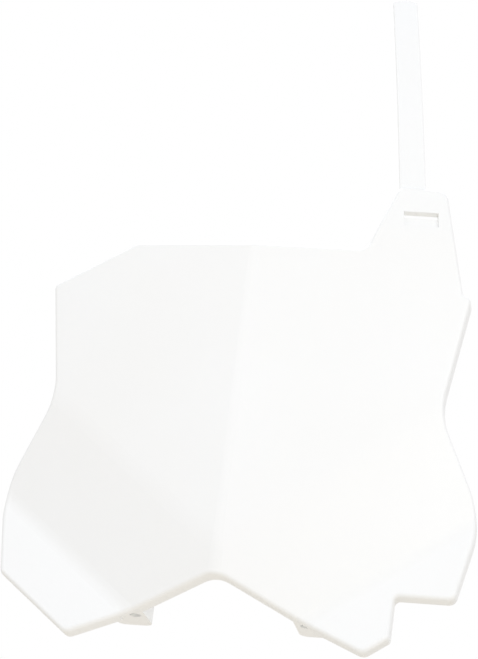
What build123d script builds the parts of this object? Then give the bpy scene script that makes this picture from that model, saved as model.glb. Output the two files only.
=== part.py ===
from build123d import *
import os
from math import cos, degrees, radians, sin, tan

# Front number board of an off-road racing motorcycle, moulded in one piece.
# Millimetres. X is to the right as a viewer in front of the board sees it, Y goes back
# towards the fork and Z is up. The origin lies midway between the two bolt holes, on the
# flat undersides of the lugs that seat on the fork clamp.

# Outline seen from the front: half widths from the ridge, and heights above the lug seats
top_middle_height = 202.8
top_corner_half_width = 68.5
top_corner_height = 208.6
shoulder_half_width = 117.0
shoulder_height = 185.7
waist_half_width = 105.2
waist_height = 118.0
wing_half_width = 129.6
wing_height = 64.8
tail_half_width = 119.5
tail_height = 16.6
toe_half_width = 76.8
toe_height = -16.2
foot_height = 17.8

# Radii of the outline's corners
top_middle_radius = 110.0
top_corner_radius = 4.5
shoulder_radius = 3.4
waist_radius = 40.0
wing_radius = 56.0
tail_radius = 4.5
toe_radius = 4.8
foot_radius = 17.0

# Facets: the upper panels sweep back from the ridge, the wing corners lie further back than
# the panels, and the toes stand forward of the bands above them
ridge_to_holes = 30.3
panel_sweep = 12.7
crease_meet_height = 30.5
wing_drop = 6.4
fold_half_width = 45.5
toe_lift = 13.2
ridge_radius = 12.0
upper_crease_radius = 80.0
lower_crease_radius = 18.0

# Shell: a wall with a flange turned back all round its edge
wall = 2.4
flange_depth = 10.0
edge_radius = 2.0

# Notch in the lower right corner, which clears the brake hose
notch_inset = 12.3
notch_radius = 3.0

# Ear at the upper right, which carries the strap and its slot
ear_step = 1.6
ear_root_width = 53.0
ear_flank_lean = 11.7
ear_top_width = 25.6
ear_height = 65.0
ear_bend_drop = 30.0
ear_lean = 6.0
ear_left_root_radius = 8.0
ear_right_root_radius = 2.2
ear_corner_radius = 6.0
ear_bend_radius = 40.0

# Strap, moulded on the ear's top edge
strap_inset = 7.6
strap_width = 14.7
strap_tip_width = 14.4
strap_thickness = 2.2
strap_length = 145.0
strap_setback = 1.8
strap_side_lean = 4.8
strap_bend_radius = 900.0
strap_tip_radius = 4.0
strap_edge_radius = 0.7

# Slot in the ear for the strap's free end: a recess with a slit along its upper edge
slot_inset = 13.0
slot_drop = 16.0
slot_width = 19.2
slot_height = 9.0
slot_tilt = 4.5
slit_height = 3.2
recess_depth = 1.8

# Lugs behind the lower edge, each with one bolt hole in a boss, and the depth of flange below it
hole_spacing = 90.0
hole_diameter = 6.6
boss_wall = 2.0
lug_shift = 3.8
lug_rear = 20.0
lug_width = 19.0
lug_corner_radius = 5.0
lug_height = 14.0
lug_floor = 4.0
lug_relief = 5.0

# Room left round the board while it is cut out, and how near counts as touching
block_margin = 30.0
touching = 0.01

# Places worked out from the sizes above
ridge_y = -ridge_to_holes
panel_slope = tan(radians(panel_sweep))
waist_setback = panel_slope * waist_half_width
wing_setback = panel_slope * wing_half_width + wing_drop
reach = ridge_to_holes + wing_setback + block_margin
ear_top_height = shoulder_height + ear_height
ear_bend_height = ear_top_height - ear_bend_drop
span = ear_top_height + wing_half_width + reach
notch_half_width = toe_half_width + notch_inset
hole_offset = hole_spacing / 2


def edge_height(x, start, end):
    """Height at x on the straight outline edge between two corners."""
    share = (x - start[0]) / (end[0] - start[0])
    return start[1] + share * (end[1] - start[1])


def facet(*corners):
    """Forward-facing plane through three corners, each given as X, setback from the ridge and Z."""
    first, second, third = [Vector(x, ridge_y + setback, z) for x, setback, z in corners]
    normal = (second - first).cross(third - first)
    forward = normal if normal.Y < 0 else -normal
    return Plane(origin=first, x_dir=Vector(0, 0, 1).cross(forward), z_dir=forward)


def depth_at(plane, x, z):
    """Y of the point of a plane that a viewer in front sees at x and z."""
    return plane.origin.Y - (
        plane.z_dir.X * (x - plane.origin.X) + plane.z_dir.Z * (z - plane.origin.Z)
    ) / plane.z_dir.Y


def rounding_length(heading, next_heading, radius):
    """Length of straight edge that a rounded outline corner takes on either side of it."""
    return radius * tan(radians(heading.get_angle(next_heading) / 2))


def bend(through, upper, lower, radius):
    """Everything behind two facets that meet in a rounded bend through a point."""
    along = upper.z_dir.cross(lower.z_dir).normalized()
    profile = Plane(origin=through, x_dir=upper.z_dir.cross(along), z_dir=along)
    upper_end = through + upper.z_dir.cross(along) * span
    lower_end = through - lower.z_dir.cross(along) * span
    behind = Vector(0, span, 0)
    ends = (upper_end, lower_end, lower_end + behind, upper_end + behind)
    high, low, low_behind, high_behind = [profile.to_local_coords(end) for end in ends]
    with BuildPart() as solid:
        with BuildSketch(profile):
            with BuildLine():
                FilletPolyline((high.X, high.Y), (0, 0), (low.X, low.Y), radius=radius)
                Polyline(*[(end.X, end.Y) for end in (low, low_behind, high_behind, high)])
            make_face()
        extrude(amount=span, both=True)
    return solid.part


top_middle = (0, top_middle_height)
top_corner = (top_corner_half_width, top_corner_height)
shoulder = (shoulder_half_width, shoulder_height)
tail = (tail_half_width, tail_height)
toe = (toe_half_width, toe_height)
foot = (0, foot_height)

# The four facets of the right half: upper panel, band below it, lower wing, and the leaning ear
panel_plane = facet(
    (0, 0, 0),
    (0, 0, top_middle_height),
    (waist_half_width, waist_setback, 0),
)
band_plane = facet(
    (0, 0, crease_meet_height),
    (waist_half_width, waist_setback, waist_height),
    (wing_half_width, wing_setback, wing_height),
)
fold_height = edge_height(fold_half_width, foot, toe)
fold_setback = depth_at(band_plane, fold_half_width, fold_height) - ridge_y
toe_setback = depth_at(band_plane, toe_half_width, toe_height) - ridge_y - toe_lift
wing_plane = facet(
    (wing_half_width, wing_setback, wing_height),
    (fold_half_width, fold_setback, fold_height),
    (toe_half_width, toe_setback, toe_height),
)
ear_plane = facet(
    (0, 0, ear_bend_height),
    (waist_half_width, waist_setback, ear_bend_height),
    (0, ear_bend_drop * tan(radians(ear_lean)), ear_top_height),
)

upper_bend = bend(Vector(0, ridge_y, crease_meet_height), panel_plane, band_plane, upper_crease_radius)
ear_bend = bend(Vector(0, ridge_y, ear_bend_height), ear_plane, panel_plane, ear_bend_radius)


def in_fold(edge):
    """Edge filter: the concave fold between a band and a wing."""
    return all(abs(plane.to_local_coords(edge @ 0.5).Z) < touching for plane in (band_plane, wing_plane))


def on_ridge(edge):
    """Edge filter: the ridge between the two halves."""
    return abs((edge @ 0.5).X) < touching


# Everything behind the front surface, wider than its outline: one half, then its mirror image
block_side = wing_half_width + block_margin
with BuildSketch(Plane.XZ) as block:
    with BuildLine():
        Polyline(
            (0, ear_top_height + block_margin),
            (0, foot_height - block_margin / 2),
            (toe_half_width, toe_height - block_margin / 2),
            (block_side, toe_height - block_margin / 2),
            (block_side, ear_top_height + block_margin),
            close=True,
        )
    make_face()

with BuildPart() as wing_backing:
    extrude(block.sketch, amount=reach, both=True)
    split(bisect_by=wing_plane, keep=Keep.BOTTOM)

with BuildPart() as backing:
    extrude(block.sketch, amount=reach, both=True)
    add(upper_bend, mode=Mode.INTERSECT)
    add(ear_bend, mode=Mode.INTERSECT)
    add(wing_backing.part)
    fillet(backing.edges().filter_by(in_fold), lower_crease_radius)
    mirror(about=Plane.YZ)
    fillet(backing.edges().filter_by(on_ridge), ridge_radius)

# The ear's right flank ends a short step from the shoulder's rounding, on the edge above it
chamfer = Vector(*shoulder) - Vector(*top_corner)
side_edge = Vector(waist_half_width, waist_height) - Vector(*shoulder)
flank = Vector(sin(radians(ear_flank_lean)), -cos(radians(ear_flank_lean)))
shoulder_rounding = rounding_length(chamfer, side_edge, shoulder_radius)
root_rounding = rounding_length(flank, chamfer, ear_right_root_radius)
ear_root = Vector(*shoulder) - chamfer.normalized() * (shoulder_rounding + ear_step + root_rounding)
ear_right = ear_root.X
ear_right_height = ear_root.Y
ear_left = ear_right - ear_root_width
ear_top_right = ear_right - (ear_top_height - ear_right_height) * tan(radians(ear_flank_lean))
ear_top_left = ear_top_right - ear_top_width

# Corners of the outline as X, Z and radius, anticlockwise from the middle of the top edge
side = [
    (*shoulder, shoulder_radius),
    (waist_half_width, waist_height, waist_radius),
    (wing_half_width, wing_height, wing_radius),
    (*tail, tail_radius),
]
left_half = [(*top_corner, top_corner_radius), *side, (*toe, toe_radius)]
notch = [
    (*toe, toe_radius),
    (notch_half_width, edge_height(notch_half_width, toe, tail), notch_radius),
    (notch_half_width, tail_height, notch_radius),
]
ear = [
    (ear_right, ear_right_height, ear_right_root_radius),
    (ear_top_right, ear_top_height, ear_corner_radius),
    (ear_top_left, ear_top_height, ear_corner_radius),
    (ear_left, edge_height(ear_left, top_middle, top_corner), ear_left_root_radius),
]
corners = [
    (*top_middle, top_middle_radius),
    *[(-x, z, radius) for x, z, radius in left_half],
    (*foot, foot_radius),
    *notch,
    *reversed(side),
    *ear,
]

with BuildSketch(Plane.XZ) as outline:
    with BuildLine():
        FilletPolyline(
            *[(x, z) for x, z, radius in corners],
            radius=[radius for x, z, radius in corners],
            close=True,
        )
    make_face()

with BuildSketch(Plane.XZ) as inside:
    offset(outline.sketch, amount=-wall)


def front_rim(part):
    """Edges round the front of an outline's prism, where its sides meet the facets."""
    sides = part.faces().filter_by(lambda face: abs(face.normal_at().Y) < touching)
    rims = sides.edges().filter_by(Axis.Y, reverse=True)
    return rims.filter_by_position(Axis.Y, -reach, reach - block_margin / 2)


# The hollow behind the wall and inside the flange
with BuildPart() as hollow:
    extrude(inside.sketch, amount=reach, both=True)
    with Locations((0, wall, 0)):
        add(backing.part, mode=Mode.INTERSECT)


def on_ear(x, z, tilt):
    """Plane on the ear's front at x and z, turned about its normal."""
    level = Plane(origin=(x, depth_at(ear_plane, x, z), z), x_dir=ear_plane.x_dir, z_dir=ear_plane.z_dir)
    return Plane(level.location * Rotation(0, 0, tilt))


# The strap: a bent strip, cut to its tapered outline
strap_root = ear_top_height - wall
strap_middle = ear_top_left + strap_inset
strap_plane = on_ear(strap_middle, strap_root, strap_side_lean)
strap_side_plane = Plane(origin=strap_plane.origin, x_dir=strap_plane.y_dir, z_dir=strap_plane.x_dir)
bend_centre = (0, -strap_setback - strap_bend_radius)
strap_turn = degrees((strap_length + block_margin) / strap_bend_radius)


def above_root(edge):
    """Edge filter: the strap's edges that are clear of its root."""
    return strap_plane.to_local_coords(edge @ 0.5).Y > wall


with BuildPart() as strap:
    with BuildSketch(strap_side_plane):
        with BuildLine():
            front = CenterArc(bend_centre, strap_bend_radius, 90, -strap_turn)
            back = CenterArc(bend_centre, strap_bend_radius - strap_thickness, 90, -strap_turn)
            Line(front @ 0, back @ 0)
            Line(front @ 1, back @ 1)
        make_face()
    extrude(amount=strap_width, both=True)
    with BuildSketch(strap_plane):
        with BuildLine():
            FilletPolyline(
                (strap_width / 2, 0),
                (strap_tip_width / 2, strap_length),
                (-strap_tip_width / 2, strap_length),
                (-strap_width / 2, 0),
                radius=strap_tip_radius,
            )
            Line((-strap_width / 2, 0), (strap_width / 2, 0))
        make_face()
    extrude(amount=reach, both=True, mode=Mode.INTERSECT)
    rims = strap.faces().sort_by(SortBy.AREA)[-2:].edges()
    fillet(rims.filter_by(above_root), strap_edge_radius)

# The slot: its plane lies on the ear's front, with the slit's upper edge along local X
slot_middle = ear_top_left + slot_inset
slot_top = ear_top_height - slot_drop
slot_plane = on_ear(slot_middle, slot_top, slot_tilt)

# The right lug: side walls, a rear wall and a boss stand on a floor that seats on the clamp
with BuildSketch() as lug_plan:
    with Locations((hole_offset + lug_shift, lug_rear)):
        Rectangle(lug_width, lug_rear - ridge_y, align=(Align.CENTER, Align.MAX))
    fillet(lug_plan.vertices().group_by(Axis.Y)[-1], lug_corner_radius)

# Lugs keep inside the shell, or behind its flange, and run half a wall into both
with BuildPart() as lug_room:
    with BuildSketch(Plane.XZ):
        offset(outline.sketch, amount=-wall / 2)
    extrude(amount=reach, both=True)
    with Locations((0, wall / 2, 0)):
        add(backing.part, mode=Mode.INTERSECT)
    with Locations((0, flange_depth - wall / 2, 0)):
        add(backing.part)

with BuildPart() as lug:
    extrude(lug_plan.sketch, amount=lug_height)
    with BuildSketch(Plane.XY.offset(lug_floor)):
        offset(lug_plan.sketch, amount=-wall)
        with Locations((hole_offset, 0)):
            Circle(hole_diameter / 2 + boss_wall, mode=Mode.SUBTRACT)
    extrude(amount=lug_height, mode=Mode.SUBTRACT)
    with BuildSketch():
        with Locations((hole_offset, 0)):
            Circle(hole_diameter / 2)
    extrude(amount=lug_height, mode=Mode.SUBTRACT)
    add(lug_room.part, mode=Mode.INTERSECT)

# The flange is cut back below the boss, so that the clamp reaches its seat
with BuildPart() as relief:
    with BuildSketch():
        with Locations((hole_offset, 0)):
            Rectangle(hole_diameter + 2 * boss_wall, 2 * reach)
    extrude(amount=-reach)
    with Locations((0, lug_relief, 0)):
        add(backing.part, mode=Mode.INTERSECT)

with BuildPart() as number_board:
    # Shell
    extrude(outline.sketch, amount=reach, both=True)
    add(backing.part, mode=Mode.INTERSECT)
    fillet(front_rim(number_board), edge_radius)
    with Locations((0, flange_depth, 0)):
        add(backing.part, mode=Mode.SUBTRACT)
    add(hollow.part, mode=Mode.SUBTRACT)

    # Strap and its slot, which has a pad behind it so that the recess keeps the full wall
    add(strap.part)
    with BuildSketch(slot_plane.offset(-wall / 2)):
        with Locations((0, -slot_height / 2)):
            Rectangle(slot_width + 2 * wall, slot_height + 2 * wall)
    extrude(amount=-wall / 2 - recess_depth)
    with BuildSketch(slot_plane):
        with Locations((0, -slot_height / 2)):
            Rectangle(slot_width, slot_height)
    extrude(amount=-recess_depth, mode=Mode.SUBTRACT)
    with BuildSketch(slot_plane):
        with Locations((0, -slit_height / 2)):
            Rectangle(slot_width, slit_height)
    extrude(amount=-wall - 2 * recess_depth, mode=Mode.SUBTRACT)

    # Lugs on both sides
    add(relief.part, mode=Mode.SUBTRACT)
    mirror(relief.part, about=Plane.YZ, mode=Mode.SUBTRACT)
    add(lug.part)
    mirror(lug.part, about=Plane.YZ)

os.makedirs("parts", exist_ok=True)
number_board.part.label = "number_board"
export_step(number_board.part, "parts/number_board.step")
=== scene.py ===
import bpy
from math import cos, radians, sin
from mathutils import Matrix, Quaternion, Vector

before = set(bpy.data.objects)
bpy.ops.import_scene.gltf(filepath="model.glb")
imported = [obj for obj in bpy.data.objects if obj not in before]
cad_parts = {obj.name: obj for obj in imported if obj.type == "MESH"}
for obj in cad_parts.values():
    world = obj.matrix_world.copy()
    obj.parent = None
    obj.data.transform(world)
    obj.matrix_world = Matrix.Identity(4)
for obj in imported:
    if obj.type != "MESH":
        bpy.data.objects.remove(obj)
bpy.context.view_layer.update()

# Number board: the front plate of an off-road racing motorcycle, one injection moulding with its
# flange, ear, strap and lugs. White polypropylene from a polished front tool half and a plainer
# rear half; two screws through the lugs hold it on the fork clamp, the strap on the handlebar.
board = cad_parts["number_board"]


def linear(hex_colour):
    """An sRGB hex colour as linear red, green, blue and alpha."""
    channels = [int(hex_colour[start:start + 2], 16) / 255 for start in (1, 3, 5)]
    return [*[c / 12.92 if c <= 0.04045 else ((c + 0.055) / 1.055) ** 2.4 for c in channels], 1.0]


def add_node(tree, kind, sockets, **settings):
    """One node with its settings; a socket takes a value, or a link from another node's output."""
    node = tree.nodes.new(kind)
    for name, value in settings.items():
        setattr(node, name, value)
    for socket, value in sockets.items():
        if isinstance(value, bpy.types.NodeSocket):
            tree.links.new(value, node.inputs[socket])
        else:
            node.inputs[socket].default_value = value
    return node


# Moulded white polypropylene: a milky satin white, a little creamier where the melt cooled last.
# The front has the soft gloss of a polished tool with a faint orange peel, and the back is duller,
# with the round marks that the ejector pins leave.
board_white = linear("#FAFBFB")
board_cream = linear("#F8F8F6")
cream_patch_mm = 85.0
cream_detail = 2.0
refraction = 1.49
mm = 0.001

# The front's roughness between the tops and hollows of its peel, what the back has more of it, and
# how squarely a surface has to face back for the back's finish to begin and to be full
roughness_low = 0.34
roughness_high = 0.44
roughness_added_on_back = 0.14
back_begins = 0.35
back_full = 0.75

# Relief of the skin: the slow warp of a cooled panel, the orange peel and the rings of the pins
warp_mm = 70.0
warp_detail = 0.0
warp_strength = 0.25
warp_height_mm = 1.0
peel_mm = 2.2  # the real skin is nearer 0.5 mm, too fine to show, so it is drawn coarser
peel_detail = 3.0
peel_strength = 0.2
peel_height_mm = 0.05
pin_spacing_mm = 46.0
pin_radius_mm = 3.5
pin_line_mm = 0.7  # the real line is a hair's breadth, drawn wider so that it shows
pin_strength = 0.6
pin_height_mm = 0.15

polypropylene = bpy.data.materials.new("moulded_white_polypropylene")
polypropylene.use_nodes = True
tree = polypropylene.node_tree
tree.nodes.clear()
place = add_node(tree, "ShaderNodeTexCoord", {})
facing = add_node(tree, "ShaderNodeSeparateXYZ", {"Vector": place.outputs["Normal"]})
on_back = add_node(
    tree,
    "ShaderNodeMapRange",
    {"Value": facing.outputs["Y"], "From Min": back_begins, "From Max": back_full},
)
cream = add_node(
    tree,
    "ShaderNodeTexNoise",
    {"Vector": place.outputs["Object"], "Scale": 1 / (cream_patch_mm * mm), "Detail": cream_detail},
)
tint = add_node(
    tree,
    "ShaderNodeMix",
    {"Factor": cream.outputs["Fac"], "A": board_white, "B": board_cream},
    data_type="RGBA",
)
peel = add_node(
    tree,
    "ShaderNodeTexNoise",
    {"Vector": place.outputs["Object"], "Scale": 1 / (peel_mm * mm), "Detail": peel_detail},
)
sheen = add_node(
    tree,
    "ShaderNodeMapRange",
    {"Value": peel.outputs["Fac"], "To Min": roughness_low, "To Max": roughness_high},
)
dulling = add_node(
    tree,
    "ShaderNodeMath",
    {0: on_back.outputs["Result"], 1: roughness_added_on_back, 2: sheen.outputs["Result"]},
    operation="MULTIPLY_ADD",
)
warp = add_node(
    tree,
    "ShaderNodeTexNoise",
    {"Vector": place.outputs["Object"], "Scale": 1 / (warp_mm * mm), "Detail": warp_detail},
)
spot = add_node(tree, "ShaderNodeSeparateXYZ", {"Vector": place.outputs["Object"]})
flat_spot = add_node(
    tree,
    "ShaderNodeCombineXYZ",
    {"X": spot.outputs["X"], "Y": spot.outputs["Z"]},
)
pins = add_node(
    tree,
    "ShaderNodeTexVoronoi",
    {"Vector": flat_spot.outputs["Vector"], "Scale": 1 / (pin_spacing_mm * mm), "Randomness": 0.0},
    voronoi_dimensions="2D",
)
pin_edge = add_node(
    tree,
    "ShaderNodeMath",
    {
        0: pins.outputs["Distance"],
        1: pin_radius_mm / pin_spacing_mm,
        2: pin_line_mm / pin_spacing_mm,
    },
    operation="COMPARE",
)
pin_mark = add_node(
    tree,
    "ShaderNodeMath",
    {0: pin_edge.outputs["Value"], 1: on_back.outputs["Result"]},
    operation="MULTIPLY",
)
warp_bump = add_node(
    tree,
    "ShaderNodeBump",
    {"Height": warp.outputs["Fac"], "Strength": warp_strength, "Distance": warp_height_mm * mm},
)
peel_bump = add_node(
    tree,
    "ShaderNodeBump",
    {
        "Height": peel.outputs["Fac"],
        "Strength": peel_strength,
        "Distance": peel_height_mm * mm,
        "Normal": warp_bump.outputs["Normal"],
    },
)
pin_bump = add_node(
    tree,
    "ShaderNodeBump",
    {
        "Height": pin_mark.outputs["Value"],
        "Strength": pin_strength,
        "Distance": pin_height_mm * mm,
        "Normal": peel_bump.outputs["Normal"],
    },
)
skin = add_node(
    tree,
    "ShaderNodeBsdfPrincipled",
    {
        "Base Color": tint.outputs["Result"],
        "Roughness": dulling.outputs["Value"],
        "IOR": refraction,
        "Normal": pin_bump.outputs["Normal"],
    },
)
add_node(tree, "ShaderNodeOutputMaterial", {"Surface": skin.outputs["BSDF"]})
for slot in board.material_slots:
    slot.material = polypropylene

# Floor: a wide pale studio floor well below the board, which hangs free as it does on its mount.
# Warm matt paint, so the light that it throws up is a little beige.
floor_height = -0.45
floor_half_width = 15.0
floor_colour = linear("#E4DED3")
floor_roughness = 0.9

floor_mesh = bpy.data.meshes.new("floor")
floor_mesh.from_pydata(
    [
        (-floor_half_width, -floor_half_width, floor_height),
        (floor_half_width, -floor_half_width, floor_height),
        (floor_half_width, floor_half_width, floor_height),
        (-floor_half_width, floor_half_width, floor_height),
    ],
    [],
    [(0, 1, 2, 3)],
)
floor = bpy.data.objects.new("floor", floor_mesh)
bpy.context.scene.collection.objects.link(floor)
floor_paint = bpy.data.materials.new("matt_floor_paint")
floor_paint.use_nodes = True
painted = floor_paint.node_tree.nodes["Principled BSDF"]
painted.inputs["Base Color"].default_value = floor_colour
painted.inputs["Roughness"].default_value = floor_roughness
floor_mesh.materials.append(floor_paint)

# Studio light: a wide softbox above left of the board's front, a smaller one on the right that makes
# the right panels the lighter ones, and one behind for the edges of the back, all slightly cool. The
# surround is white where it is seen, and dimmer and cooler as a light.
softboxes = [
    ("softbox_above", (-0.45, -1.0, 0.85), 1.2, 4.0),
    ("softbox_right", (0.95, -1.1, 0.36), 0.8, 5.3),
    ("softbox_behind", (-0.3, 0.9, 1.8), 1.2, 22.0),
]
softbox_colour = linear("#FBFCFE")
lit_point = Vector((0.0, 0.0, 0.12))
surround_seen = linear("#FFFFFF")
surround_light = linear("#D3D5DA")

for name, position, width, watts in softboxes:
    lamp = bpy.data.lights.new(name, "AREA")
    lamp.shape = "SQUARE"
    lamp.size = width
    lamp.energy = watts
    lamp.color = softbox_colour[:3]
    softbox = bpy.data.objects.new(name, lamp)
    softbox.location = position
    softbox.rotation_euler = (lit_point - softbox.location).to_track_quat("-Z", "Y").to_euler()
    bpy.context.scene.collection.objects.link(softbox)

surround = bpy.data.worlds.new("studio_surround")
surround.use_nodes = True
surround.node_tree.nodes.clear()
ray = add_node(surround.node_tree, "ShaderNodeLightPath", {})
seen_or_glossy = add_node(
    surround.node_tree,
    "ShaderNodeMath",
    {0: ray.outputs["Is Camera Ray"], 1: ray.outputs["Is Glossy Ray"]},
    operation="MAXIMUM",
)
seen = add_node(
    surround.node_tree,
    "ShaderNodeMath",
    {0: seen_or_glossy.outputs["Value"], 1: ray.outputs["Is Transmission Ray"]},
    operation="MAXIMUM",
)
surround_colour = add_node(
    surround.node_tree,
    "ShaderNodeMix",
    {"Factor": seen.outputs["Value"], "A": surround_light, "B": surround_seen},
    data_type="RGBA",
)
glow = add_node(
    surround.node_tree,
    "ShaderNodeBackground",
    {"Color": surround_colour.outputs["Result"], "Strength": 1.0},
)
add_node(surround.node_tree, "ShaderNodeOutputWorld", {"Surface": glow.outputs["Background"]})
bpy.context.scene.world = surround
bpy.context.scene.view_settings.view_transform = "Standard"

# Camera: a long lens low in front of the board and to its right, turned a little about its own
# axis, as the photograph shows the board leaning.
aim = Vector((-6.90, -10.11, 159.72)) * mm
distance = 1024.8 * mm
azimuth = radians(12.494)
elevation = radians(-23.522)
roll = radians(7.172)
sensor_width_mm = 36.0
focal_length_mm = 102.95

back = Vector((sin(azimuth) * cos(elevation), -cos(azimuth) * cos(elevation), sin(elevation)))
lens = bpy.data.cameras.new("camera")
lens.sensor_width = sensor_width_mm
lens.lens = focal_length_mm
camera = bpy.data.objects.new("camera", lens)
camera.rotation_mode = "QUATERNION"
camera.location = aim + back * distance
camera.rotation_quaternion = (-back).to_track_quat("-Z", "Y") @ Quaternion((0, 0, 1), roll)
bpy.context.scene.collection.objects.link(camera)
bpy.context.scene.camera = camera
